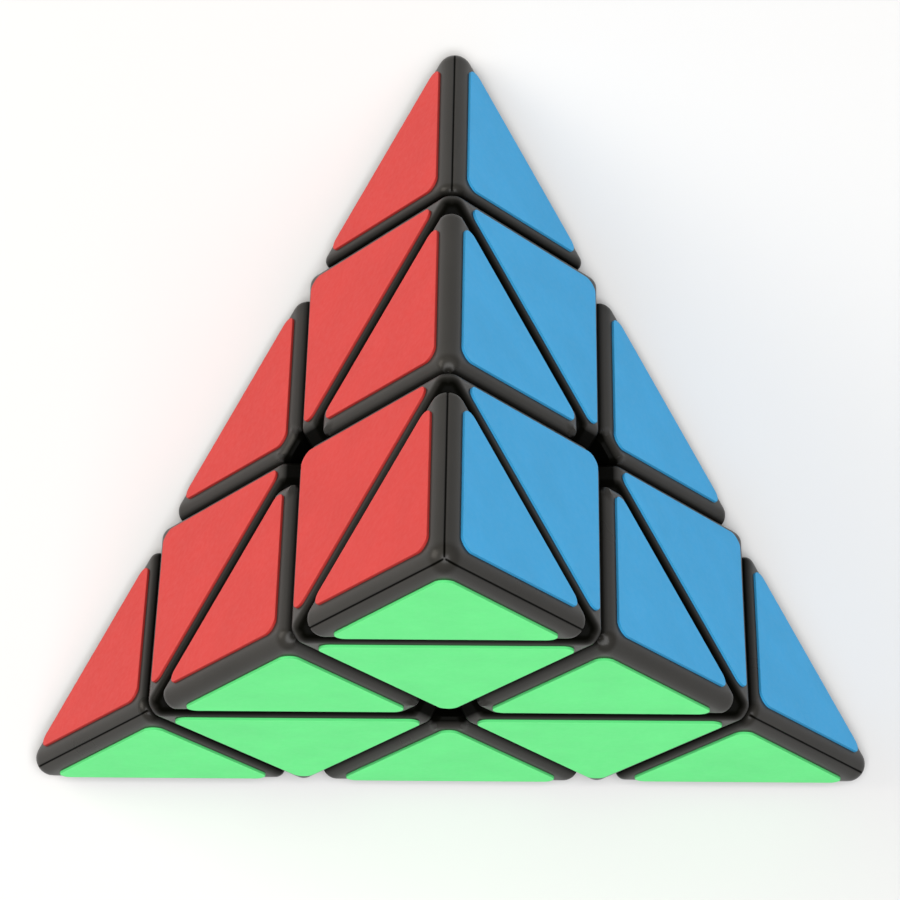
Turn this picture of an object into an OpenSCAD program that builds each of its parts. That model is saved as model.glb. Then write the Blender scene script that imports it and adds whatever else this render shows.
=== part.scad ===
// Pyramid twisty puzzle with three layers along each of its four turning axes.
// The origin is the centre of the core, where the four axes cross.
// +Z runs to the top corner, +Y towards the rear corner, and the yellow face rests on a table below.
// Lengths marked "from the core" are measured from the origin along the axis of one corner.

/* [Pyramid] */
// Edge length of the sharp pyramid, before its corners and ridges are rounded
edge_len = 104; // [102:1:110]
// Gap between two neighbouring pieces
piece_gap = 0.3; // [0.2:0.05:0.4]
// Wall thickness of the hollow shells
wall = 2.2; // [1.8:0.1:2.6]

/* [Rounding] */
// Radius of a tip's three long ridges
tip_ridge_r = 2.05; // [1.6:0.05:2.4]
// Radius round the foot of a tip
tip_rim_r = 1; // [0.6:0.1:1.4]
// Radius of an edge piece's long outer ridge
edge_ridge_r = 1.65; // [1.2:0.05:2]
// Radius of an edge piece's other sides
edge_rim_r = 1.5; // [1.2:0.1:1.7]
// Radius of a centre piece's sides
centre_rim_r = 1.6; // [1.2:0.1:1.8]
// Depth cut off a centre piece's corners in the middle of each face
centre_corner = 2.6; // [2:0.1:3]
// Depth cut off an edge piece's corners in the middle of each face
edge_corner = 4.1; // [3.2:0.1:4.4]

/* [Stickers] */
// Thickness of a sticker
sticker_t = 0.3; // [0.2:0.05:0.4]
// Corner radius of a sticker
sticker_corner_r = 1.3; // [0.8:0.1:2]
// Margin from a tip's ridge to its stickers
tip_ridge_margin = 2.9; // [2.7:0.05:3.2]
// Margin from the tip cut to the tip's stickers
tip_rim_margin = 1.57; // [1.5:0.05:1.9]
// Margin from the tip cut to the centre's stickers
centre_top_margin = 1.5; // [1.35:0.05:1.9]
// Margin from a deep cut to the centre's stickers
centre_side_margin = 1.35; // [1.3:0.05:1.8]
// Margin from a deep cut to the edge piece's stickers
edge_side_margin = 2.35; // [2.3:0.05:2.7]
// Margin from an edge piece's ridge to its stickers
edge_ridge_margin = 2.4; // [2.35:0.05:2.8]

/* [Core] */
// Radius of the core ball
ball_r = 11.6; // [11:0.1:11.8]
// Radius of the four arms on the ball
arm_r = 3.6; // [3.2:0.1:3.8]
// Running clearance between sliding surfaces
run_gap = 0.2; // [0.15:0.05:0.25]
// Running clearance of a centre piece on its arm
arm_gap = 0.1; // [0.05:0.05:0.15]
// Thickness of an edge piece's curved foot
foot_t = 2.9; // [2.4:0.1:2.9]
// Angle from a turning axis to the rim of the feet in its layer
foot_angle = 69.6; // [68.5:0.1:69.9]

/* [Axis hardware] */
// Radius of the axis screw's shank
screw_r = 1.5; // [1.2:0.1:1.6]
// Radius of the axis screw's head
screw_head_r = 3.4; // [2.8:0.1:3.6]
// Height of the axis screw's head
screw_head_h = 2.2; // [1.8:0.1:2.4]
// Radius of the spring's wire
wire_r = 0.35; // [0.3:0.05:0.4]
// Radius from the axis to the middle of the wire
coil_r = 3.4; // [3:0.1:3.6]
// Turns in one spring
coil_turns = 4.5; // [3.5:0.5:5]

/* [Hidden] */
$fn = 64;
CORNERS = ["top", "rear", "left", "right"];
// The face opposite a corner has the colour of the same place in this list
COLOURS = ["yellow", "green", "blue", "red"];
STICKER_RGB = [[0.96, 0.80, 0.10], [0.41, 0.92, 0.54], [0.29, 0.64, 0.84], [0.90, 0.33, 0.31]];
BLACK = [0.15, 0.15, 0.14];
STEEL = [0.72, 0.73, 0.75];
// Unit vectors from the core to the four corners
DIRS = [
    [0, 0, 1],
    [0, sqrt(8) / 3, -1 / 3],
    [-sqrt(6) / 3, -sqrt(2) / 3, -1 / 3],
    [sqrt(6) / 3, -sqrt(2) / 3, -1 / 3]
];
PAIRS = [[0, 1], [0, 2], [0, 3], [1, 2], [1, 3], [2, 3]];

// Distances from the core: a face, the cut under a tip, and the deep cut under a whole layer
face_in = edge_len / sqrt(24);
tip_cut = face_in * 5 / 3;
deep_cut = face_in / 3;
half_gap = piece_gap / 2;
tiny = 0.00001;
// Two sides whose normals' dot product is below this face opposite ways and share no edge
opposite = -0.9;
// Sine of the angle between a corner's axis and the faces round that corner
face_slope = sqrt(8) / 3;

// Curved running surfaces round the core
foot_in = ball_r + run_gap;
foot_out = foot_in + foot_t;
under_r = foot_out + run_gap;
foot_len = 18;
near_foot = ball_r / 2;
far_foot = 2 * foot_out;

// Neck and peg of an edge piece's foot, along the middle axis of the piece
neck_from = 12.95;
neck_above_foot = 0.3;
neck_to = foot_out + neck_above_foot;
neck_len = 10;
peg_half = 1.4;
peg_len = 5;
peg_to = neck_to + peg_len;
peg_fit = 0.06;

// Stack of parts along each axis, as distances from the core
arm_from = 7;
arm_to = 17.6;
web_from = arm_to + run_gap;
web_t = 1.6;
web_to = web_from + web_t;
stack_fit = 0.1;
coil_to = 25.3;
washer_t = 0.8;
washer_to = coil_to + washer_t;
under_head = washer_to + stack_fit;
head_to = under_head + screw_head_h;
head_chamfer = 0.8;
head_overlap = 0.5;
screw_from = 8.5;
pilot_from = 8;
screw_hole_r = screw_r + 0.4;
head_room = 0.6;
chamber_from = head_to + head_room;
lip_from = chamber_from + head_room;
lip_h = 1.2;
lip_fit = 0.1;
lip_flat_from = lip_from + 0.5;
spigot_from = chamber_from + 0.4;
spigot_lead = 0.3;
slot_to = tip_cut - 1;
pocket_r = 4.4;
boss_r = 8.8;
lower_boss_r = 6.8;
boss_len = 9;
chamber_r = 6.4;
groove_r = 7.2;
spigot_r = 6.2;
spigot_bore_r = 4.7;
lip_r = 6.95;
slot_w = 1.2;
washer_r = 4.1;
washer_hole_r = 1.7;
recess_w = 0.9;
recess_len = 3.6;
recess_depth = 1.3;

function unit(v) = v / norm(v);
function others(a) = [for (b = [0:3]) if (b != a) b];
function tip_name(a) = str("tip_", CORNERS[a]);
function centre_name(a) = str("centre_", CORNERS[a]);
function edge_name(p) = str("edge_", CORNERS[p[0]], "_", CORNERS[p[1]]);
function foot_name(p) = str(edge_name(p), "_foot");
function sticker_name(piece, face) = str(piece, "_sticker_", COLOURS[face]);
function off_pair(p) = [for (a = [0:3]) if (a != p[0] && a != p[1]) a];

// A side is [outward normal, distance from the core, rounding radius].
// A normal along -DIRS[a] faces away from corner a, and one along DIRS[a] faces it.
function outer_side(a, r) = [-DIRS[a], face_in, r];
function side_facing(a, d, r) = [DIRS[a], d - half_gap, r];
function side_from(a, d, r) = [-DIRS[a], -(d + half_gap), r];
function inset(side, by) = [side[0], side[1] - by, 0];

// The point where three sides meet
function meet(p, q, s) =
    (p[1] * cross(q[0], s[0]) + q[1] * cross(s[0], p[0]) + s[1] * cross(p[0], q[0]))
    / (p[0] * cross(q[0], s[0]));

// The flat that just touches the rounding between two or three sides
function blunt(s) =
    let (
        n = s[0][0] + s[1][0] + (len(s) == 3 ? s[2][0] : [0, 0, 0]),
        r = min([for (t = s) t[2]]),
        sum = s[0][1] + s[1][1] + (len(s) == 3 ? s[2][1] : 0)
    )
    [n / norm(n), (sum - len(s) * r) / norm(n) + r, 0];

// Some sides with a flat along every edge between two of them
function edges_blunted(s) = concat(
    s,
    [
        for (i = [0:len(s) - 2], j = [i + 1:len(s) - 1])
            if (s[i][0] * s[j][0] > opposite) blunt([s[i], s[j]])
    ]
);

// Four sides with a flat along every edge and across every corner
function all_blunted(s) = concat(
    edges_blunted(s),
    [for (a = [0:3]) let (b = others(a)) blunt([s[b[0]], s[b[1]], s[b[2]]])]
);

function all_inset(sides, by) = [for (s = sides) inset(s, by)];

// Every point where three sides meet and that no other side cuts off
function corners(s) = [
    for (i = [0:len(s) - 3], j = [i + 1:len(s) - 2], k = [j + 1:len(s) - 1])
        if (abs(s[i][0] * cross(s[j][0], s[k][0])) > tiny)
            let (p = meet(s[i], s[j], s[k]))
            if (max([for (t = s) t[0] * p - t[1]]) < tiny)
                p
];

// The top tip, the top centre piece and the edge piece between top and rear.
// Every other tip, centre and edge piece is one of these three, turned.
TIP_SIDES = [
    for (b = [0:3]) b == 0 ? side_from(0, tip_cut, tip_rim_r) : outer_side(b, tip_ridge_r)
];
EDGE_SIDES = [
    for (b = [0:3]) b < 2 ? side_from(b, deep_cut, edge_rim_r) : outer_side(b, edge_ridge_r)
];
CENTRE_SIDES = concat(
    [for (b = [0:3]) side_facing(b, b == 0 ? tip_cut : deep_cut, centre_rim_r)],
    [for (b = [0:3]) b == 0 ? side_from(0, deep_cut, centre_rim_r) : outer_side(b, centre_rim_r)]
);

// The flat across a corner where three sides meet, at a depth below it, with outward normal n
function corner_side(n, p, q, s, depth) = [n, n * meet(p, q, s) - depth, 0];
EDGE_CORNERS = [
    for (d = [2, 3])
        corner_side(DIRS[d], EDGE_SIDES[0], EDGE_SIDES[1], EDGE_SIDES[5 - d], edge_corner)
];
CENTRE_CORNERS = [
    for (p = [[1, 2, 3], [1, 3, 2], [2, 3, 1]])
        corner_side(
            unit(DIRS[p[0]] + DIRS[p[1]]),
            CENTRE_SIDES[p[0]], CENTRE_SIDES[p[1]], CENTRE_SIDES[4 + p[2]], centre_corner
        )
];

// The flat-sided solid inside all of some sides
module solid(sides) {
    points = corners(sides);
    hull() polyhedron(points, [[for (i = [0:len(points) - 1]) i]]);
}

// Turns +Z to z_dir and +X to x_dir, two unit vectors at right angles
module facing(z_dir, x_dir) {
    tilt = acos(z_dir[2]);
    turn = z_dir[0] == 0 && z_dir[1] == 0 ? 0 : atan2(z_dir[1], z_dir[0]);
    ex = [cos(turn) * cos(tilt), sin(turn) * cos(tilt), -sin(tilt)];
    ey = [-sin(turn), cos(turn), 0];
    spin = atan2(x_dir * ey, x_dir * ex);
    rotate([0, tilt, turn]) rotate([0, 0, spin]) children();
}

// In the face opposite corner a, the direction towards corner b
function in_face(a, b) = unit(DIRS[b] + DIRS[a] / 3);

// Turns a piece made at the top corner, and facing the rear one, to corner a, facing corner b
module placed(a, b) {
    facing(DIRS[a], in_face(a, b)) rotate([0, 0, -90]) children();
}

// Turns +Z to the axis of corner a
module on_axis(a) {
    placed(a, others(a)[0]) children();
}

// ---- core and axis hardware ----

module core() {
    color(BLACK)
        difference() {
            union() {
                rotate([0, 90, 0]) sphere(r = ball_r);
                for (a = [0:3])
                    on_axis(a) translate([0, 0, arm_from]) cylinder(r = arm_r, h = arm_to - arm_from);
            }
            for (a = [0:3])
                on_axis(a) translate([0, 0, pilot_from]) cylinder(r = screw_r, h = arm_to);
        }
}

module axis_screw() {
    translate([0, 0, screw_from]) cylinder(r = screw_r, h = under_head - screw_from + head_overlap);
    difference() {
        rotate_extrude()
            polygon([
                [0, under_head], [screw_head_r, under_head],
                [screw_head_r, head_to - head_chamfer], [screw_head_r - head_chamfer, head_to],
                [0, head_to]
            ]);
        for (turn = [0, 90])
            rotate([0, 0, turn])
                translate([-recess_len / 2, -recess_w / 2, head_to - recess_depth])
                    cube([recess_len, recess_w, screw_head_h]);
    }
}

module axis_screws() {
    color(STEEL) for (a = [0:3]) on_axis(a) axis_screw();
}

module screw_washers() {
    color(STEEL)
        for (a = [0:3])
            on_axis(a)
                translate([0, 0, coil_to])
                    difference() {
                        translate([0, 0, stack_fit]) cylinder(r = washer_r, h = washer_t - stack_fit);
                        cylinder(r = washer_hole_r, h = 2 * washer_t);
                    }
}

// One spring: a round wire carried along a helix, with flat ends
module axis_spring() {
    steps = 12;
    sides = 6;
    from = web_to + stack_fit + wire_r;
    rise = coil_to - wire_r - from;
    rings = steps * coil_turns;
    points = [
        for (i = [0:rings], k = [0:sides - 1])
            let (turn = 360 * i / steps, round = 360 * k / sides, r = coil_r + wire_r * cos(round))
            [r * cos(turn), r * sin(turn), from + rise * i / rings + wire_r * sin(round)]
    ];
    walls = [
        for (i = [0:rings - 1], k = [0:sides - 1])
            let (n = (k + 1) % sides)
            [i * sides + n, (i + 1) * sides + n, (i + 1) * sides + k, i * sides + k]
    ];
    ends = [
        [for (k = [0:sides - 1]) sides - 1 - k],
        [for (k = [0:sides - 1]) rings * sides + k]
    ];
    polyhedron(points, concat(walls, ends));
}

module axis_springs() {
    color(STEEL) for (a = [0:3]) on_axis(a) axis_spring();
}

// ---- centre pieces ----

// The stepped hole through a centre piece: arm bearing, screw hole, spring pocket, tip chamber
module centre_hole() {
    arm_bore_r = arm_r + arm_gap;
    rotate_extrude()
        polygon([
            [0, 0], [arm_bore_r, 0], [arm_bore_r, web_from], [screw_hole_r, web_from],
            [screw_hole_r, web_to], [pocket_r, web_to], [pocket_r, chamber_from],
            [chamber_r, chamber_from], [chamber_r, lip_from - run_gap],
            [groove_r, lip_from - run_gap], [groove_r, lip_from + lip_h + run_gap],
            [chamber_r, lip_from + lip_h + run_gap], [chamber_r, edge_len], [0, edge_len]
        ]);
}

// Hollow eight-sided shell, with a boss down its axis that rests on the core ball
module centre_shape() {
    difference() {
        union() {
            difference() {
                solid(concat(edges_blunted(CENTRE_SIDES), CENTRE_CORNERS));
                sphere(r = under_r);
                difference() {
                    solid(all_inset(CENTRE_SIDES, wall));
                    cylinder(r = boss_r, h = edge_len);
                }
            }
            difference() {
                translate([0, 0, pilot_from]) cylinder(r = lower_boss_r, h = boss_len);
                sphere(r = foot_in);
            }
        }
        centre_hole();
    }
}

module centre(a) {
    color(BLACK) on_axis(a) centre_shape();
}

// ---- tips ----

// Split peg with a lip, which snaps into the groove of the centre piece; the tip's bore hollows it
module tip_spigot() {
    root = tip_cut + wall;
    difference() {
        rotate_extrude()
            polygon([
                [0, spigot_from], [spigot_r - spigot_lead, spigot_from],
                [lip_r, lip_flat_from], [lip_r, lip_from + lip_h - lip_fit],
                [spigot_r, lip_from + lip_h], [spigot_r, root], [0, root]
            ]);
        for (turn = [0, 90])
            rotate([0, 0, turn])
                translate([-groove_r, -slot_w / 2, chamber_from])
                    cube([2 * groove_r, slot_w, slot_to - chamber_from]);
    }
}

module tip(a) {
    color(BLACK)
        on_axis(a)
            difference() {
                union() {
                    difference() {
                        solid(all_blunted(TIP_SIDES));
                        solid(all_inset(TIP_SIDES, wall));
                    }
                    tip_spigot();
                }
                cylinder(r = spigot_bore_r, h = tip_cut + 2 * wall);
            }
}

// ---- edge pieces ----

// Half width of the space between the piece's two deep cuts, at a distance out along its middle
function neck_half(t) = (t * sqrt(1 / 3) - deep_cut - half_gap) / sqrt(2 / 3);

// Extrudes an outline of [across, outwards] points along the length of the top and rear edge piece
module along_edge(len) {
    across = unit(DIRS[0] - DIRS[1]);
    out = unit(DIRS[0] + DIRS[1]);
    facing(cross(across, out), across) linear_extrude(height = len, center = true) children();
}

// Hollow four-sided shell, flat where it stands on its foot, with a slot for the foot's peg
module edge_shell() {
    slot_half = peg_half + peg_fit;
    difference() {
        solid(concat(all_blunted(EDGE_SIDES), EDGE_CORNERS));
        along_edge(edge_len)
            translate([-edge_len / 2, 0]) square([edge_len, neck_to + stack_fit]);
        difference() {
            solid(all_inset(EDGE_SIDES, wall));
            along_edge(edge_len) translate([-edge_len / 2, 0]) square([edge_len, peg_to]);
        }
        along_edge(neck_len + 2 * peg_fit)
            translate([-slot_half, 0]) square([2 * slot_half, peg_to + 1]);
    }
}

module edge(p) {
    color(BLACK) placed(p[0], p[1]) edge_shell();
}

// Curved shell round the top axis, out to a conical rim
module foot_cap() {
    rotate_extrude()
        difference() {
            intersection() {
                circle(r = foot_out);
                polygon([[0, 0], far_foot * [sin(foot_angle), cos(foot_angle)], [0, far_foot]]);
            }
            circle(r = foot_in);
        }
}

// All that lies outside a cone like that rim
module beyond_rim() {
    rotate_extrude()
        polygon([
            near_foot * [sin(foot_angle), cos(foot_angle)],
            far_foot * [sin(foot_angle), cos(foot_angle)],
            [far_foot, -far_foot],
            [near_foot, -far_foot]
        ]);
}

// Curved foot that slides between the core ball and the centre pieces, with its neck and peg
module foot_shape() {
    intersection() {
        difference() {
            rotate([0, 0, 90]) foot_cap();
            on_axis(1) rotate([0, 0, 90]) beyond_rim();
        }
        along_edge(foot_len) translate([-far_foot / 2, 0]) square(far_foot);
    }
    along_edge(neck_len)
        polygon([
            [-neck_half(neck_from), neck_from], [neck_half(neck_from), neck_from],
            [neck_half(neck_to), neck_to], [peg_half, neck_to], [peg_half, peg_to],
            [-peg_half, peg_to], [-peg_half, neck_to], [-neck_half(neck_to), neck_to]
        ]);
}

module edge_foot(p) {
    color(BLACK) placed(p[0], p[1]) foot_shape();
}

// ---- stickers ----

// Rounded triangle on the face opposite corner a.
// Towards each corner b it keeps low[b] from the face's centre; flip = -1 turns the triangle round.
function sticker_outline(a, low, flip) =
    let (
        b = others(a),
        z_dir = -DIRS[a],
        x_dir = in_face(a, b[0]),
        y_dir = cross(z_dir, x_dir),
        hand = sign(in_face(a, b[1]) * y_dir),
        s = [for (c = b) flip * low[c] + sticker_corner_r],
        r = sticker_corner_r
    )
    [
        for (i = [0:2], t = [-60:20:60])
            let (
                middle = 120 * hand * i,
                p = s[(i + 1) % 3],
                q = s[(i + 2) % 3],
                m1 = 120 * hand * ((i + 1) % 3),
                m2 = 120 * hand * ((i + 2) % 3),
                c = 2 / 3 * [
                    p * cos(m1) + q * cos(m2) - (p + q) * cos(middle),
                    p * sin(m1) + q * sin(m2) - (p + q) * sin(middle)
                ]
            )
            flip * (c + r * [cos(middle + hand * t), sin(middle + hand * t)])
    ];

// Where a cut at distance d from the core, or the ridge beside a face, crosses the face
function cut_line(d) = (d - face_in / 3) / face_slope;
ridge_line = -face_in * 4 / 3 / face_slope;

module sticker(face, low, flip) {
    color(STICKER_RGB[face])
        facing(-DIRS[face], in_face(face, others(face)[0]))
            translate([0, 0, face_in])
                linear_extrude(height = sticker_t)
                    polygon(sticker_outline(face, low, flip));
}

module tip_sticker(a, face) {
    low = [
        for (b = [0:3]) b == a ? cut_line(tip_cut) + tip_rim_margin : ridge_line + tip_ridge_margin
    ];
    sticker(face, low, 1);
}

module centre_sticker(a, face) {
    low = [
        for (b = [0:3])
            b == a ? cut_line(tip_cut) - centre_top_margin : cut_line(deep_cut) - centre_side_margin
    ];
    sticker(face, low, -1);
}

module edge_sticker(p, face) {
    low = [
        for (b = [0:3])
            b == p[0] || b == p[1]
                ? cut_line(deep_cut) + edge_side_margin
                : ridge_line + edge_ridge_margin
    ];
    sticker(face, low, 1);
}

core();
axis_screws();
screw_washers();
axis_springs();
for (a = [0:3]) {
    centre(a);
    tip(a);
    for (face = others(a)) {
        centre_sticker(a, face);
        tip_sticker(a, face);
    }
}
for (p = PAIRS) {
    edge(p);
    edge_foot(p);
    for (face = off_pair(p))
        edge_sticker(p, face);
}
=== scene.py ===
import bpy
import numpy as np
from mathutils import Matrix, Vector


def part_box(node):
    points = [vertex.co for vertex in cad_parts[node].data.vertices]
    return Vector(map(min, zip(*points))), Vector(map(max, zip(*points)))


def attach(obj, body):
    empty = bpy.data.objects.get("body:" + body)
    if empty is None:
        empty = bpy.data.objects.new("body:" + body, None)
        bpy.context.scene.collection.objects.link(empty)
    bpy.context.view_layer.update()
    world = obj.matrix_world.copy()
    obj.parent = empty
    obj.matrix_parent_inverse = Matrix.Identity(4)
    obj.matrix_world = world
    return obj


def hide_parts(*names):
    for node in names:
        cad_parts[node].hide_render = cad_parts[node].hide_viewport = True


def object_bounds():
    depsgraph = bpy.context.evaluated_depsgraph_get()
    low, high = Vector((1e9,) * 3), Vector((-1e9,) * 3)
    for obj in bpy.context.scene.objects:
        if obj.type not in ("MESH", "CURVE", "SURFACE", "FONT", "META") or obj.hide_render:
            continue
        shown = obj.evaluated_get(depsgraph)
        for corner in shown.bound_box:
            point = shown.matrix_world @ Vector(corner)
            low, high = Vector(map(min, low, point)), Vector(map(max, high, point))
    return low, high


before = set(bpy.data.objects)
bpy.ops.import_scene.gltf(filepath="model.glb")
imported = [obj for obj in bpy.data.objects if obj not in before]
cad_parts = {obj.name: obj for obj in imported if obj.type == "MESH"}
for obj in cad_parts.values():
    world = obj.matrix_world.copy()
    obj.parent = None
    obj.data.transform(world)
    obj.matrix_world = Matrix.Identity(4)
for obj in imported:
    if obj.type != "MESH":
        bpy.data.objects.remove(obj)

# Pyramid twisty puzzle: rounded black shells, vinyl stickers and the sprung core inside them.
# Everything is in metres, with +Z through the top corner. The four turning axes cross at the origin.

CAD_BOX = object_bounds()
MM = 0.001
CORNERS = ("top", "rear", "left", "right")
# The face opposite a corner has the colour at the same place
COLOURS = ("yellow", "green", "blue", "red")
PAIRS = ((0, 1), (0, 2), (0, 3), (1, 2), (1, 3), (2, 3))
DIRS = np.array([
    [0, 0, 1],
    [0, 8 ** 0.5 / 3, -1 / 3],
    [-6 ** 0.5 / 3, -2 ** 0.5 / 3, -1 / 3],
    [6 ** 0.5 / 3, -2 ** 0.5 / 3, -1 / 3],
])

# Distances from the core, taken from the solid model
FACE = -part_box("edge_left_right")[0].z
TIP_CUT = FACE * 5 / 3
DEEP_CUT = FACE / 3
HALF_GAP = TIP_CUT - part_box("centre_top")[1].z
FLOOR_Z = CAD_BOX[0].z

# Rounding of the shells
TIP_RIDGE_R = 2.05 * MM
TIP_RIM_R = 1.0 * MM
EDGE_RIDGE_R = 1.65 * MM
EDGE_RIM_R = 1.5 * MM
CENTRE_R = 1.6 * MM
# The rounded skins lie this far inside the solid model's flat sides
SKIN = 0.01 * MM
# Edges of a shell turn sharp in shading above this angle, in degrees
SHELL_SHARP = 28
# Two sides whose normals' dot product is below this face apart and share no edge
OPPOSITE = -0.9
# Three sides whose determinant is below this have no corner
NO_CORNER = 1e-3
# Keep divisions safe where two sides are parallel or a length is nothing
NO_ANGLE = 1e-6
NO_LENGTH = 1e-12

# Mould seam along the ridges of a tip
SEAM_W = 0.13 * MM
SEAM_DEPTH = 0.12 * MM
# Where the third side comes this near, where the cut does, and where the point of the tip does
SEAM_FADE = 0.3 * MM
SEAM_CUT_FADE = 0.8 * MM
SEAM_POINT_FADE = 2.5 * MM

# Painted shade in the gaps: how near to a cut it starts, and how far it reaches below the outer sides
PAINTED_SHADE_W = 1.0 * MM
PAINTED_SHADE_REACH = 5 * MM
# Radius of the painted shade in the hollow in the middle of each face, on the centre and on the edge
# pieces
CENTRE_HOLLOW_R = 4.9 * MM
EDGE_HOLLOW_R = 6.3 * MM
HOLLOW_FADE = 1.2 * MM
HOLLOW_FROM = 0.15 * MM
HOLLOW_DEEP = 0.7 * MM
# Shares of painted shade at which the plastic starts to darken and is darkest
DARK_FROM = 0.1
DARK_TO = 0.75

# Steps along a side of the triangular grids, and how strongly they gather near its ends
GRID = 64
CLUSTER = 0.85
# The skin is looked for by halving each ray, which ends a little past the flat sides
HALVINGS = 26
RAY_END = 1.1
# Points nearer to each other than this are one point: in a made skin, and in the solid model
SAME_POINT = 1e-9
WELD = 1e-7

# Stickers
CORNER_R = 1.3 * MM
EDGE_ROLL = 0.07 * MM
CROWN = 0.03 * MM
CROWN_POWER = 4
CROWN_RINGS = (0.97, 0.92, 0.84, 0.72, 0.55, 0.35, 0.15)
CORNER_STEPS = 15
# A straight side is cut into steps, and is any step of the outline longer than this
SIDE_STEPS = 8
LONG_SIDE = 3 * MM
LIP_STEPS = 6
STICKER_SHARP = 40

# Space kept for the spigot under a tip
SPIGOT_SPACE_R = 7.1 * MM
SPIGOT_SPACE_STEPS = 64
SPIGOT_SPACE_PAST = 1 * MM

# Studio
FLOOR_HALF = 1.5
FLOOR_STEPS = 40
# Camera: its focal length in millimetres, its place, where it looks and which way is up
CAMERA_LENS = 229.208
CAMERA_PLACE = (0.0065198, 0.0238275, 0.657672)
CAMERA_LOOK = (-0.010028, -0.0208838, -0.9997316)
CAMERA_UP = (-0.0068216, 0.9997601, -0.020816)


def others(a):
    """The three corners that are not corner a."""
    return [b for b in range(4) if b != a]


def unit(v):
    """The vector divided by its length."""
    return v / np.linalg.norm(v, axis=-1, keepdims=True)


def seat(a, b):
    """Turns a piece made at the top corner, and facing the rear one, to corner a, facing corner b."""
    z = DIRS[a]
    y = unit(DIRS[b] + DIRS[a] / 3)
    return np.column_stack([np.cross(y, z), y, z])


def cad_points(node):
    """The vertices of a solid model node, as one array."""
    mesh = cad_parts[node].data
    co = np.zeros(len(mesh.vertices) * 3)
    mesh.vertices.foreach_get("co", co)
    return co.reshape(-1, 3)


def farthest(node, way):
    """How far a solid model node reaches from the core in a direction."""
    return (cad_points(node) @ way).max()


def mesh_from(name, co, tris):
    """A mesh from an array of points and an array of faces with the same number of corners."""
    mesh = bpy.data.meshes.new(name)
    sides = tris.shape[1]
    mesh.vertices.add(len(co))
    mesh.vertices.foreach_set("co", np.ascontiguousarray(co, dtype=np.float32).ravel())
    mesh.loops.add(tris.size)
    mesh.loops.foreach_set("vertex_index", tris.astype(np.int32).ravel())
    mesh.polygons.add(len(tris))
    mesh.polygons.foreach_set("loop_start", np.arange(0, tris.size, sides, dtype=np.int32))
    mesh.update(calc_edges=True)
    mesh.validate()
    return mesh


def new_object(name, mesh):
    """Links a new object that holds the mesh, at the origin."""
    obj = bpy.data.objects.new(name, mesh)
    bpy.context.scene.collection.objects.link(obj)
    return obj


# ---- rounded shells ----

def rounded(x, normals, reach, r):
    """Height above the flat sides with every edge and corner between them rounded to radius r.

    The sides move in by r, and the height is the distance to that smaller solid, less r. That distance
    is the largest of three kinds: the heights above single sides, the distances to the lines where two
    sides meet, for points beyond both, and to the points where three meet, for points beyond all three.
    """
    n = len(normals)
    d = x @ normals.T - reach + r
    k = d.argmax(axis=1)
    best = d.max(axis=1)
    grad = normals[k]
    for i in range(n):
        for j in range(i + 1, n):
            c = normals[i] @ normals[j]
            if c < OPPOSITE:
                continue
            p, q = d[:, i], d[:, j]
            s = 1 - c * c
            rho = np.sqrt(np.maximum(p * p + q * q - 2 * c * p * q, 0) / s)
            more = (p > c * q) & (q > c * p) & (rho > best)
            best = np.where(more, rho, best)
            way = ((p - c * q)[:, None] * normals[i] + (q - c * p)[:, None] * normals[j]) / s
            grad = np.where(more[:, None], way / np.maximum(rho, NO_LENGTH)[:, None], grad)
            for m in range(j + 1, n):
                three = normals[[i, j, m]]
                if abs(np.linalg.det(three)) < NO_CORNER:
                    continue
                point = np.linalg.solve(three, reach[[i, j, m]] - r)
                w = x - point
                share = w @ np.linalg.inv(three)
                far = np.linalg.norm(w, axis=1)
                more = (share > 0).all(axis=1) & (far > best)
                best = np.where(more, far, best)
                grad = np.where(more[:, None], w / np.maximum(far, NO_LENGTH)[:, None], grad)
    return best - r, grad


def filleted(u, gu, v, gv, r):
    """Height above two surfaces with the edge between them rounded to radius r.

    u and v are the heights above the two, and gu and gv their directions of steepest climb. Within r of
    both, the height is the distance to the line where both are r deep, less r.
    """
    c = (gu * gv).sum(axis=1)
    p, q = u + r, v + r
    s = np.maximum(1 - c * c, NO_ANGLE)
    rho = np.sqrt(np.maximum(p * p + q * q - 2 * c * p * q, 0) / s)
    arc = (p > c * q) & (q > c * p)
    way = ((p - c * q)[:, None] * gu + (q - c * p)[:, None] * gv) / s[:, None]
    flat = np.where((u > v)[:, None], gu, gv)
    grad = np.where(arc[:, None], way / np.maximum(rho, NO_LENGTH)[:, None], flat)
    return np.where(arc, rho - r, np.maximum(u, v)), grad


OUTER = -DIRS
OUTER_REACH = FACE - SKIN
FROM_TIP = -(TIP_CUT + HALF_GAP) - SKIN
FROM_DEEP = -(DEEP_CUT + HALF_GAP) - SKIN
TO_TIP = TIP_CUT - HALF_GAP - SKIN
TO_DEEP = DEEP_CUT - HALF_GAP - SKIN


def seam_line(x):
    """How much of a tip's mould seam is at each point, 0 to 1.

    Between two outer sides the seam is a narrow bell across the plane midway between them. It fades
    out where the third side is as near as those two, and towards the cut under the tip.
    """
    d = x @ OUTER[1:].T - OUTER_REACH
    seam = np.zeros(len(x))
    for i, j, k in ((0, 1, 2), (0, 2, 1), (1, 2, 0)):
        across = (d[:, i] - d[:, j]) / np.linalg.norm(OUTER[1 + i] - OUTER[1 + j])
        ridge = np.clip(((d[:, i] + d[:, j]) / 2 - d[:, k]) / SEAM_FADE, 0, 1)
        seam = np.maximum(seam, np.exp(-(across / SEAM_W) ** 2) * ridge)
    above = np.clip((x[:, 2] + FROM_TIP) / SEAM_CUT_FADE, 0, 1)
    return seam * above


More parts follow.
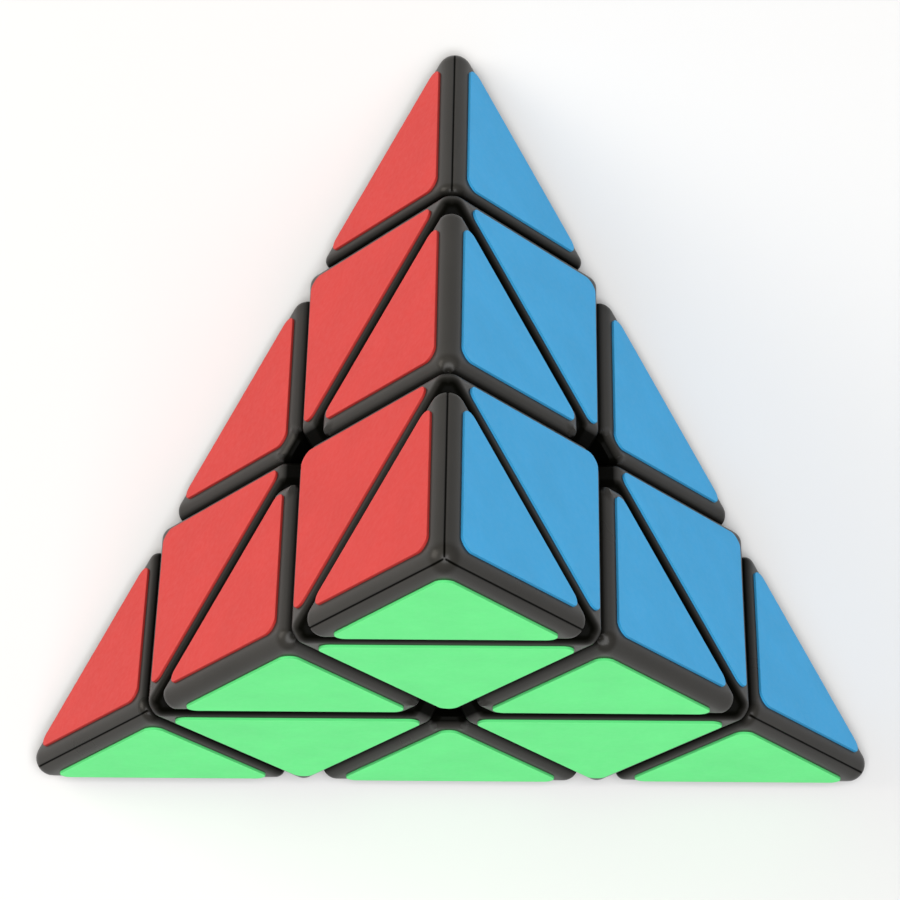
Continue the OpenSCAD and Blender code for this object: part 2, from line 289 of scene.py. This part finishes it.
def painted_gap_and_hollow_shade(x, normals, reach, hollow_r):
    """How much painted shade is at each point of a shell, 0 to 1.

    The painted shade gathers next to the cut sides, down to a set depth below the outer sides, and in the
    hollow in the middle of each face, which is measured as a distance from the axis through that face.
    """
    cut = (x @ normals.T - reach).max(axis=1)
    level = x @ OUTER.T - OUTER_REACH
    near = np.clip(1 + cut / PAINTED_SHADE_W, 0, 1)
    shallow = np.clip(1 + level.max(axis=1) / PAINTED_SHADE_REACH, 0, 1)
    grime = near * shallow
    for k in range(4):
        along = x @ OUTER[k]
        radius = np.linalg.norm(x - along[:, None] * OUTER[k], axis=1)
        inside = np.clip((hollow_r - radius) / HOLLOW_FADE, 0, 1) * (along > 0)
        under = np.clip((-level[:, k] - HOLLOW_FROM) / HOLLOW_DEEP, 0, 1)
        grime = np.maximum(grime, inside * under)
    return grime


def tip_height(x):
    """Outer sides rounded together, then the cut under the tip, with a shallow seam along each ridge.

    The seam gets shallower towards the point of the tip.
    """
    u, gu = rounded(x, OUTER[1:], np.full(3, OUTER_REACH), TIP_RIDGE_R)
    v = x @ OUTER[0] - FROM_TIP
    gv = np.broadcast_to(OUTER[0], x.shape)
    height, _ = filleted(u, gu, v, gv, TIP_RIM_R)
    from_point = 3 * OUTER_REACH - 2 * TIP_RIDGE_R - x[:, 2]
    depth = SEAM_DEPTH * np.clip(from_point / SEAM_POINT_FADE, 0, 1)
    return height + depth * seam_line(x)


EDGE_CUT_NORMALS = np.vstack([OUTER[:2], DIRS[2:]])
EDGE_CUT_REACH = np.array(
    [FROM_DEEP] * 2 + [farthest("edge_top_rear", way) - SKIN for way in DIRS[2:]])


def edge_height(x):
    """Two outer sides rounded together, the cuts and blunt ends together, then one with the other."""
    u, gu = rounded(x, OUTER[2:], np.full(2, OUTER_REACH), EDGE_RIDGE_R)
    v, gv = rounded(x, EDGE_CUT_NORMALS, EDGE_CUT_REACH, EDGE_RIM_R)
    return filleted(u, gu, v, gv, EDGE_RIM_R)[0]


BLUNT = unit(np.array([DIRS[1] + DIRS[2], DIRS[1] + DIRS[3], DIRS[2] + DIRS[3]]))
CENTRE_NORMALS = np.vstack([DIRS, -DIRS, BLUNT])
CENTRE_REACH = np.array([
    TO_TIP, TO_DEEP, TO_DEEP, TO_DEEP, FROM_DEEP, OUTER_REACH, OUTER_REACH, OUTER_REACH,
    *[farthest("centre_top", way) - SKIN for way in BLUNT],
])


def centre_height(x):
    """All eight sides and the three blunt corners rounded together."""
    return rounded(x, CENTRE_NORMALS, CENTRE_REACH, CENTRE_R)[0]


def four_corners(reach):
    """The sharp corners of four sides that face away from the puzzle's, and the triangles they make."""
    points = np.array([np.linalg.solve(OUTER[others(a)], reach[others(a)]) for a in range(4)])
    return points, [others(a) for a in range(4)]


def six_corners():
    """Six sharp corners of a centre piece, each nearest to its four sides, and its eight triangles."""
    points = []
    for a, b in PAIRS:
        c, d = [k for k in range(4) if k not in (a, b)]
        rows = [a, b, 4 + c, 4 + d]
        points.append(np.linalg.lstsq(CENTRE_NORMALS[rows], CENTRE_REACH[rows], rcond=None)[0])
    up = [[k for k, p in enumerate(PAIRS) if a in p] for a in range(4)]
    down = [[k for k, p in enumerate(PAIRS) if a not in p] for a in range(4)]
    return np.array(points), up + down


def side_grid():
    """Shares of the three corners at each point of a triangular grid.

    A sine is taken from each even share, which draws the points together near the sides and corners.
    """
    i, j = [g.ravel() for g in np.meshgrid(np.arange(GRID + 1), np.arange(GRID + 1), indexing="ij")]
    keep = i + j <= GRID
    i, j = i[keep], j[keep]
    share = np.column_stack([i, j, GRID - i - j]) / GRID
    share = share - CLUSTER * np.sin(2 * np.pi * share) / (2 * np.pi)
    share /= share.sum(axis=1, keepdims=True)
    number = np.full((GRID + 2, GRID + 2), -1)
    number[i, j] = np.arange(len(i))
    lower = np.column_stack([number[i, j], number[i + 1, j], number[i, j + 1]])
    upper = np.column_stack([number[i + 1, j], number[i + 1, j + 1], number[i, j + 1]])
    tris = np.vstack([lower, upper])
    return share, tris[(tris >= 0).all(axis=1)]


def rounded_solid(name, corners, sides, height):
    """A closed skin: each side's grid is drawn along rays from the middle to where the height is zero."""
    middle = corners.mean(axis=0)
    share, tris = side_grid()
    co, faces = [], []
    for k, side in enumerate(sides):
        p = corners[side]
        out = np.cross(p[1] - p[0], p[2] - p[0]) @ (p.mean(axis=0) - middle) > 0
        faces.append((tris if out else tris[:, ::-1]) + k * len(share))
        co.append(share @ p)
    ray = np.vstack(co) - middle
    faces = np.vstack(faces)
    low = np.zeros(len(ray))
    high = np.full(len(ray), RAY_END)
    for _ in range(HALVINGS):
        mid = (low + high) / 2
        inside = height(middle + ray * mid[:, None]) < 0
        low = np.where(inside, mid, low)
        high = np.where(inside, high, mid)
    skin = middle + ray * low[:, None]
    _, first, same = np.unique(np.round(ray / SAME_POINT), axis=0, return_index=True, return_inverse=True)
    return mesh_from(name, skin[first], same.ravel()[faces])


def welded_copy(node):
    """A copy of a solid model node with its loose triangles joined into one closed mesh."""
    co = cad_points(node)
    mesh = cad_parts[node].data
    tris = np.zeros(len(mesh.loops), dtype=np.int32)
    mesh.loops.foreach_get("vertex_index", tris)
    _, first, same = np.unique(np.round(co / WELD), axis=0, return_index=True, return_inverse=True)
    tris = same.ravel()[tris].reshape(-1, 3)
    whole = (tris[:, 0] != tris[:, 1]) & (tris[:, 1] != tris[:, 2]) & (tris[:, 2] != tris[:, 0])
    return mesh_from(node + "_welded", co[first], tris[whole])


def turned_profile(name, profile, steps):
    """A closed profile of (radius, height) points carried round the Z axis, with its ends on the axis."""
    turn = np.linspace(0, 2 * np.pi, steps, endpoint=False)
    r, z = np.array(profile).T
    ring = np.stack([
        r[:, None] * np.cos(turn), r[:, None] * np.sin(turn), np.repeat(z[:, None], steps, axis=1),
    ], axis=-1)
    n = len(profile)
    i, k = np.meshgrid(np.arange(n - 1), np.arange(steps), indexing="ij")
    a, b = i * steps + k, i * steps + (k + 1) % steps
    tris = np.vstack([
        np.column_stack([a.ravel(), b.ravel(), (b + steps).ravel()]),
        np.column_stack([a.ravel(), (b + steps).ravel(), (a + steps).ravel()]),
    ])
    co = ring.reshape(-1, 3)
    _, first, same = np.unique(np.round(co / SAME_POINT), axis=0, return_index=True, return_inverse=True)
    tris = same.ravel()[tris]
    whole = (tris[:, 0] != tris[:, 1]) & (tris[:, 1] != tris[:, 2]) & (tris[:, 2] != tris[:, 0])
    return mesh_from(name, co[first], tris[whole])


def combined(base, tool, operation):
    """The mesh of base after a Boolean with tool. Both working objects are removed."""
    one = new_object("work", base)
    two = new_object("tool", tool)
    cut = one.modifiers.new("cut", "BOOLEAN")
    cut.operation = operation
    cut.solver = "MANIFOLD"
    cut.object = two
    bpy.context.view_layer.update()
    done = bpy.data.meshes.new_from_object(one.evaluated_get(bpy.context.evaluated_depsgraph_get()))
    bpy.data.objects.remove(one)
    bpy.data.objects.remove(two)
    return done


def shell_arrays(mesh):
    """The points and triangles of a mesh."""
    co = np.zeros(len(mesh.vertices) * 3)
    mesh.vertices.foreach_get("co", co)
    mesh.calc_loop_triangles()
    tris = np.zeros(len(mesh.loop_triangles) * 3, dtype=np.int32)
    mesh.loop_triangles.foreach_get("vertices", tris)
    return co.reshape(-1, 3), tris.reshape(-1, 3)


def make_shell(node, corners, sides, height, plug=None):
    """Rounded skin, kept only where the solid model has material, so every hollow and bore stays."""
    mesh = rounded_solid(node + "_skin", corners, sides, height)
    if plug is not None:
        mesh = combined(mesh, plug, "UNION")
    return shell_arrays(combined(mesh, welded_copy(node), "INTERSECT"))


def place_shell(node, body, shape, turn, material, grime):
    """One shell turned to its place, with sharp edges only where surfaces meet at a real corner."""
    co, tris = shape
    mesh = mesh_from(node + "_shell", co @ turn.T, tris)
    mesh.polygons.foreach_set("use_smooth", np.ones(len(mesh.polygons), dtype=bool))
    mesh.set_sharp_from_angle(angle=np.radians(SHELL_SHARP))
    # Painted shade in the gaps, the seam grooves and the face-centre hollows, kept on the points for the
    # material
    layer = mesh.attributes.new("grime", "FLOAT", "POINT")
    layer.data.foreach_set("value", grime.astype(np.float32))
    obj = new_object(node + "_shell", mesh)
    obj.data.materials.append(material)
    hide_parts(node)
    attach(obj, body)
    return obj


# ---- stickers ----

def sticker_ring(sides, reach, z_dir, x_dir, inset):
    """Outline of a triangle with round corners, moved in by inset, as points in the sticker's plane."""
    y_dir = np.cross(z_dir, x_dir)
    flat = np.column_stack([sides @ x_dir, sides @ y_dir])
    angle = np.arctan2(flat[:, 1], flat[:, 0])
    order = np.argsort(angle)
    flat, reach, angle = flat[order], reach[order], angle[order]
    ring = []
    for i in range(3):
        j = (i + 1) % 3
        centre = np.linalg.solve(flat[[i, j]], reach[[i, j]] - CORNER_R)
        turn = angle[i] + np.linspace(0, 2 * np.pi / 3, CORNER_STEPS)
        ring.append(centre + (CORNER_R - inset) * np.column_stack([np.cos(turn), np.sin(turn)]))
    ring = np.vstack(ring)
    step = np.roll(ring, -1, axis=0)
    long = np.linalg.norm(step - ring, axis=1) > LONG_SIDE
    share = np.linspace(0, 1, SIDE_STEPS, endpoint=False)[:, None]
    between = [p + (q - p) * share if far else np.array([p]) for p, q, far in zip(ring, step, long)]
    return np.vstack(between)


def sticker_mesh(node, face):
    """A thin plate: rings from the under side, up the edge, over a rolled lip and in to the middle."""
    z_dir = -DIRS[face]
    toward = [unit(DIRS[b] + DIRS[face] / 3) for b in others(face)]
    x_dir = toward[0]
    y_dir = np.cross(z_dir, x_dir)
    co = cad_points(node)
    base, top = (co @ z_dir).min(), (co @ z_dir).max()
    flip = 1 if node.startswith("centre") else -1
    sides = flip * np.array(toward)
    reach = (co @ sides.T).max(axis=0)
    lip = np.linspace(0, np.pi / 2, LIP_STEPS)
    rings = [sticker_ring(sides, reach, z_dir, x_dir, 0)]
    heights = [base]
    for a in lip:
        rings.append(sticker_ring(sides, reach, z_dir, x_dir, EDGE_ROLL * (1 - np.cos(a))))
        heights.append(top - CROWN - EDGE_ROLL * (1 - np.sin(a)))
    inner = rings[-1]
    middle = inner.mean(axis=0)
    for s in CROWN_RINGS:
        rings.append(middle + (inner - middle) * s)
        heights.append(top - CROWN * s ** CROWN_POWER)
    n = len(inner)
    flat = np.vstack(rings + [middle[None], middle[None]])
    high = np.concatenate([np.repeat(heights, n), [top, base]])
    points = flat[:, :1] * x_dir + flat[:, 1:] * y_dir + high[:, None] * z_dir
    i, k = np.meshgrid(np.arange(len(rings) - 1), np.arange(n), indexing="ij")
    a, b = (i * n + k).ravel(), (i * n + (k + 1) % n).ravel()
    walls = np.vstack([np.column_stack([a, b, b + n]), np.column_stack([a, b + n, a + n])])
    k = np.arange(n)
    last = (len(rings) - 1) * n
    top_fan = np.column_stack([last + k, last + (k + 1) % n, np.full(n, len(rings) * n)])
    base_fan = np.column_stack([(k + 1) % n, k, np.full(n, len(rings) * n + 1)])
    mesh = mesh_from(node + "_vinyl", points, np.vstack([walls, top_fan, base_fan]))
    # Painted shade along the sticker's edge: the wall and most of the rolled lip are marked for a darker
    # colour
    rim = np.zeros(len(points), dtype=np.float32)
    rim[:LIP_STEPS * n] = 1
    mesh.attributes.new("rim", "FLOAT", "POINT").data.foreach_set("value", rim)
    return mesh


def place_sticker(node, face, body, material):
    """One sticker on its face of its piece."""
    mesh = sticker_mesh(node, face)
    mesh.polygons.foreach_set("use_smooth", np.ones(len(mesh.polygons), dtype=bool))
    mesh.set_sharp_from_angle(angle=np.radians(STICKER_SHARP))
    obj = new_object(node + "_vinyl", mesh)
    obj.data.materials.append(material)
    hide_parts(node)
    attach(obj, body)
    return obj


# ---- materials ----

def node_material(name):
    """A node material that holds only a shader, with its parts and its object coordinates."""
    mat = bpy.data.materials.new(name)
    mat.use_nodes = True
    nodes, links = mat.node_tree.nodes, mat.node_tree.links
    nodes.clear()
    out = nodes.new("ShaderNodeOutputMaterial")
    shader = nodes.new("ShaderNodeBsdfPrincipled")
    links.new(shader.outputs["BSDF"], out.inputs["Surface"])
    coord = nodes.new("ShaderNodeTexCoord")
    return mat, nodes, links, shader, coord.outputs["Object"]


def noise(nodes, links, place, scale, detail=2.0, rough=0.5):
    """A noise pattern on the given coordinates."""
    tex = nodes.new("ShaderNodeTexNoise")
    tex.inputs["Scale"].default_value = scale
    tex.inputs["Detail"].default_value = detail
    tex.inputs["Roughness"].default_value = rough
    links.new(place, tex.inputs["Vector"])
    return tex.outputs["Fac"]


def spread(nodes, links, value, low, high, start=0.3, end=0.7):
    """Maps a value between start and end onto low to high."""
    ramp = nodes.new("ShaderNodeMapRange")
    ramp.inputs["From Min"].default_value = start
    ramp.inputs["From Max"].default_value = end
    ramp.inputs["To Min"].default_value = low
    ramp.inputs["To Max"].default_value = high
    links.new(value, ramp.inputs["Value"])
    return ramp.outputs["Result"]


def blend_colour(nodes, links, factor, one, two):
    """Mixes two plain colours, or a colour and a socket, by a factor socket."""
    mix = nodes.new("ShaderNodeMix")
    mix.data_type = "RGBA"
    links.new(factor, mix.inputs["Factor"])
    for value, socket in ((one, mix.inputs["A"]), (two, mix.inputs["B"])):
        if isinstance(value, tuple):
            socket.default_value = (*value, 1)
        else:
            links.new(value, socket)
    return mix.outputs["Result"]


def bumps(nodes, links, shader, layers):
    """Chains bump nodes, one for each (pattern, height in metres)."""
    normal = None
    for pattern, height in layers:
        bump = nodes.new("ShaderNodeBump")
        bump.inputs["Strength"].default_value = 1.0
        bump.inputs["Distance"].default_value = height
        links.new(pattern, bump.inputs["Height"])
        if normal is not None:
            links.new(normal, bump.inputs["Normal"])
        normal = bump.outputs["Normal"]
    links.new(normal, shader.inputs["Normal"])


def shell_plastic():
    """Satin moulded black plastic: fine texture, faint flow marks, and painted shade, near black with
    little shine, in the seam grooves, the gaps and the face-centre hollows.
    """
    mat, nodes, links, shader, place = node_material("shell_plastic")
    flow = noise(nodes, links, place, 90, 3)
    grain = noise(nodes, links, place, 4200, 2)
    share = spread(nodes, links, flow, 0, 1)
    black = blend_colour(nodes, links, share, (0.021, 0.0198, 0.0175), (0.026, 0.0245, 0.022))
    # Painted shade: the colour goes near black and the shine drops where the points are marked as shaded
    grime = nodes.new("ShaderNodeAttribute")
    grime.attribute_name = "grime"
    shade_amount = spread(nodes, links, grime.outputs["Fac"], 0, 1, DARK_FROM, DARK_TO)
    painted_dark = blend_colour(nodes, links, shade_amount, black, (0.0015, 0.0015, 0.001))
    shine = spread(nodes, links, grime.outputs["Fac"], 0.13, 0.01, DARK_FROM, DARK_TO)
    links.new(painted_dark, shader.inputs["Base Color"])
    links.new(shine, shader.inputs["Specular IOR Level"])
    links.new(spread(nodes, links, flow, 0.27, 0.34), shader.inputs["Roughness"])
    bumps(nodes, links, shader, [(flow, 0.01 * MM), (grain, 0.002 * MM)])
    return mat


def sticker_vinyl(colour, shade):
    """Printed vinyl: an even colour with faint mottle and orange peel, and painted shade along its edge.
    """
    mat, nodes, links, shader, place = node_material("vinyl_" + colour)
    mottle = noise(nodes, links, place, 160, 4)
    peel = noise(nodes, links, place, 1500, 3)
    base = np.array(shade)
    light, dark = tuple(np.minimum(base * 1.03, 1)), tuple(base * 0.96)
    ink = blend_colour(nodes, links, spread(nodes, links, mottle, 0, 1), dark, light)
    # Painted shade: the sticker's edge takes 0.6 of the ink's colour
    rim = nodes.new("ShaderNodeAttribute")
    rim.attribute_name = "rim"
    ink_and_edge_shade = blend_colour(nodes, links, rim.outputs["Fac"], ink, tuple(base * 0.6))
    links.new(ink_and_edge_shade, shader.inputs["Base Color"])
    links.new(spread(nodes, links, peel, 0.42, 0.52), shader.inputs["Roughness"])
    shader.inputs["Specular IOR Level"].default_value = 0.08
    bumps(nodes, links, shader, [(mottle, 0.006 * MM), (peel, 0.002 * MM)])
    return mat


def core_nylon():
    """Plain black nylon with a film of grease that varies its shine."""
    mat, nodes, links, shader, place = node_material("core_nylon")
    film = noise(nodes, links, place, 220, 4)
    grain = noise(nodes, links, place, 3000, 2)
    share = spread(nodes, links, film, 0, 1)
    black = blend_colour(nodes, links, share, (0.016, 0.016, 0.016), (0.024, 0.023, 0.022))
    links.new(black, shader.inputs["Base Color"])
    links.new(spread(nodes, links, film, 0.22, 0.55), shader.inputs["Roughness"])
    bumps(nodes, links, shader, [(grain, 0.005 * MM)])
    return mat


def plated_steel(name, shade, rough):
    """Zinc-plated steel: a bright metal with a cloudy plating and fine turning marks."""
    mat, nodes, links, shader, place = node_material(name)
    cloud = noise(nodes, links, place, 700, 4)
    marks = noise(nodes, links, place, 5200, 1)
    base = np.array(shade)
    share = spread(nodes, links, cloud, 0, 1)
    metal = blend_colour(nodes, links, share, tuple(base * 0.9), tuple(base))
    links.new(metal, shader.inputs["Base Color"])
    links.new(spread(nodes, links, cloud, rough, rough + 0.16), shader.inputs["Roughness"])
    shader.inputs["Metallic"].default_value = 1.0
    bumps(nodes, links, shader, [(marks, 0.004 * MM)])
    return mat


def studio_floor():
    """Smooth white table top."""
    mat, nodes, links, shader, place = node_material("studio_floor")
    tone = noise(nodes, links, place, 3, 2)
    share = spread(nodes, links, tone, 0, 1)
    pale = blend_colour(nodes, links, share, (0.56, 0.56, 0.56), (0.58, 0.58, 0.58))
    links.new(pale, shader.inputs["Base Color"])
    shader.inputs["Roughness"].default_value = 0.7
    shader.inputs["Specular IOR Level"].default_value = 0.2
    return mat


# ---- the puzzle ----

def build_shells(plastic):
    """The four tips, four centre pieces and six edge pieces."""
    tip_reach = np.array([FROM_TIP] + [OUTER_REACH] * 3)
    edge_reach = np.array([FROM_DEEP] * 2 + [OUTER_REACH] * 2)
    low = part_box("tip_top")[0].z - SPIGOT_SPACE_PAST
    high = TIP_CUT + SPIGOT_SPACE_PAST
    outline = [(0, low), (SPIGOT_SPACE_R, low), (SPIGOT_SPACE_R, high), (0, high)]
    plug = turned_profile("spigot_space", outline, SPIGOT_SPACE_STEPS)
    tip = make_shell("tip_top", *four_corners(tip_reach), tip_height, plug)
    centre = make_shell("centre_top", *six_corners(), centre_height)
    edge = make_shell("edge_top_rear", *four_corners(edge_reach), edge_height)
    # Painted shade in the gaps and hollows, and along the seam grooves of the tips
    tip_grime = np.maximum(painted_gap_and_hollow_shade(tip[0], OUTER[:1], FROM_TIP, 0), seam_line(tip[0]))
    centre_grime = painted_gap_and_hollow_shade(centre[0], CENTRE_NORMALS[:5], CENTRE_REACH[:5], CENTRE_HOLLOW_R)
    edge_grime = painted_gap_and_hollow_shade(edge[0], OUTER[:2], FROM_DEEP, EDGE_HOLLOW_R)
    for a, corner in enumerate(CORNERS):
        turn = seat(a, others(a)[0])
        for name, shape, grime in (("tip_", tip, tip_grime), ("centre_", centre, centre_grime)):
            place_shell(name + corner, name + corner + "_body", shape, turn, plastic, grime)
    for a, b in PAIRS:
        name = f"edge_{CORNERS[a]}_{CORNERS[b]}"
        place_shell(name, name + "_body", edge, seat(a, b), plastic, edge_grime)


def build_stickers(vinyl):
    """Three stickers on each tip and centre piece, and two on each edge piece."""
    for a, corner in enumerate(CORNERS):
        for face in others(a):
            for piece in ("tip_" + corner, "centre_" + corner):
                node = f"{piece}_sticker_{COLOURS[face]}"
                place_sticker(node, face, piece + "_body", vinyl[face])
    for a, b in PAIRS:
        name = f"edge_{CORNERS[a]}_{CORNERS[b]}"
        for face in range(4):
            if face not in (a, b):
                node = f"{name}_sticker_{COLOURS[face]}"
                place_sticker(node, face, name + "_body", vinyl[face])


def dress_inside():
    """Materials for the core, the feet and the axis hardware, whose shapes are the solid model's."""
    nylon = core_nylon()
    steel = plated_steel("zinc_plated_steel", (0.62, 0.61, 0.58), 0.22)
    wire = plated_steel("spring_wire", (0.55, 0.55, 0.56), 0.18)
    finish = {"axis_screws": steel, "screw_washers": steel, "axis_springs": wire, "core": nylon}
    for name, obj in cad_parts.items():
        material = finish.get(name, nylon if name.endswith("_foot") else None)
        if material is not None:
            obj.data.materials.clear()
            obj.data.materials.append(material)


# ---- studio ----

def aim(obj, look, up):
    """Turns a camera or light to look along a direction, with its top towards up."""
    z = -Vector(look).normalized()
    x = Vector(up).cross(z).normalized()
    y = z.cross(x)
    obj.matrix_world = Matrix.Translation(obj.location) @ Matrix((x, y, z)).transposed().to_4x4()


def soft_light(name, place, size, power, colour):
    """A large square lamp that faces the puzzle."""
    lamp = bpy.data.lights.new(name, "AREA")
    lamp.shape = "SQUARE"
    lamp.size = size
    lamp.energy = power
    lamp.color = colour
    obj = bpy.data.objects.new(name, lamp)
    bpy.context.scene.collection.objects.link(obj)
    obj.location = place
    aim(obj, -Vector(place), (0, 1, 0.01))


def studio():
    """Pale floor, soft lamps and the camera above the top corner."""
    scene = bpy.context.scene
    n = FLOOR_STEPS
    u = np.linspace(-FLOOR_HALF, FLOOR_HALF, n + 1)
    x, y = np.meshgrid(u, u, indexing="ij")
    co = np.column_stack([x.ravel(), y.ravel(), np.full(x.size, FLOOR_Z)])
    i, k = np.meshgrid(np.arange(n), np.arange(n), indexing="ij")
    a = (i * (n + 1) + k).ravel()
    squares = np.column_stack([a, a + n + 1, a + n + 2, a + 1])
    floor = new_object("floor", mesh_from("floor", co, squares))
    floor.data.materials.append(studio_floor())

    world = bpy.data.worlds.new("studio")
    world.use_nodes = True
    back = world.node_tree.nodes["Background"]
    back.inputs["Color"].default_value = (1, 1, 1, 1)
    back.inputs["Strength"].default_value = 0.25
    scene.world = world
    soft_light("left_softbox", (-0.9, 0.35, 0.45), 0.7, 9, (1.0, 0.93, 0.84))
    soft_light("top_softbox", (0.1, -0.1, 1.3), 1.0, 25, (1.0, 1.0, 1.0))

    camera = bpy.data.cameras.new("camera")
    camera.sensor_width = 36
    camera.lens = CAMERA_LENS
    camera.clip_start = 0.01
    camera.clip_end = 20
    eye = bpy.data.objects.new("camera", camera)
    scene.collection.objects.link(eye)
    eye.location = CAMERA_PLACE
    aim(eye, CAMERA_LOOK, CAMERA_UP)
    scene.camera = eye
    scene.view_settings.view_transform = "Standard"


PLASTIC = shell_plastic()
VINYL = [
    sticker_vinyl("yellow", (0.90, 0.60, 0.03)),
    sticker_vinyl("green", (0.14, 0.88, 0.26)),
    sticker_vinyl("blue", (0.045, 0.385, 0.74)),
    sticker_vinyl("red", (0.50, 0.036, 0.031)),
]
build_shells(PLASTIC)
build_stickers(VINYL)
dress_inside()
studio()
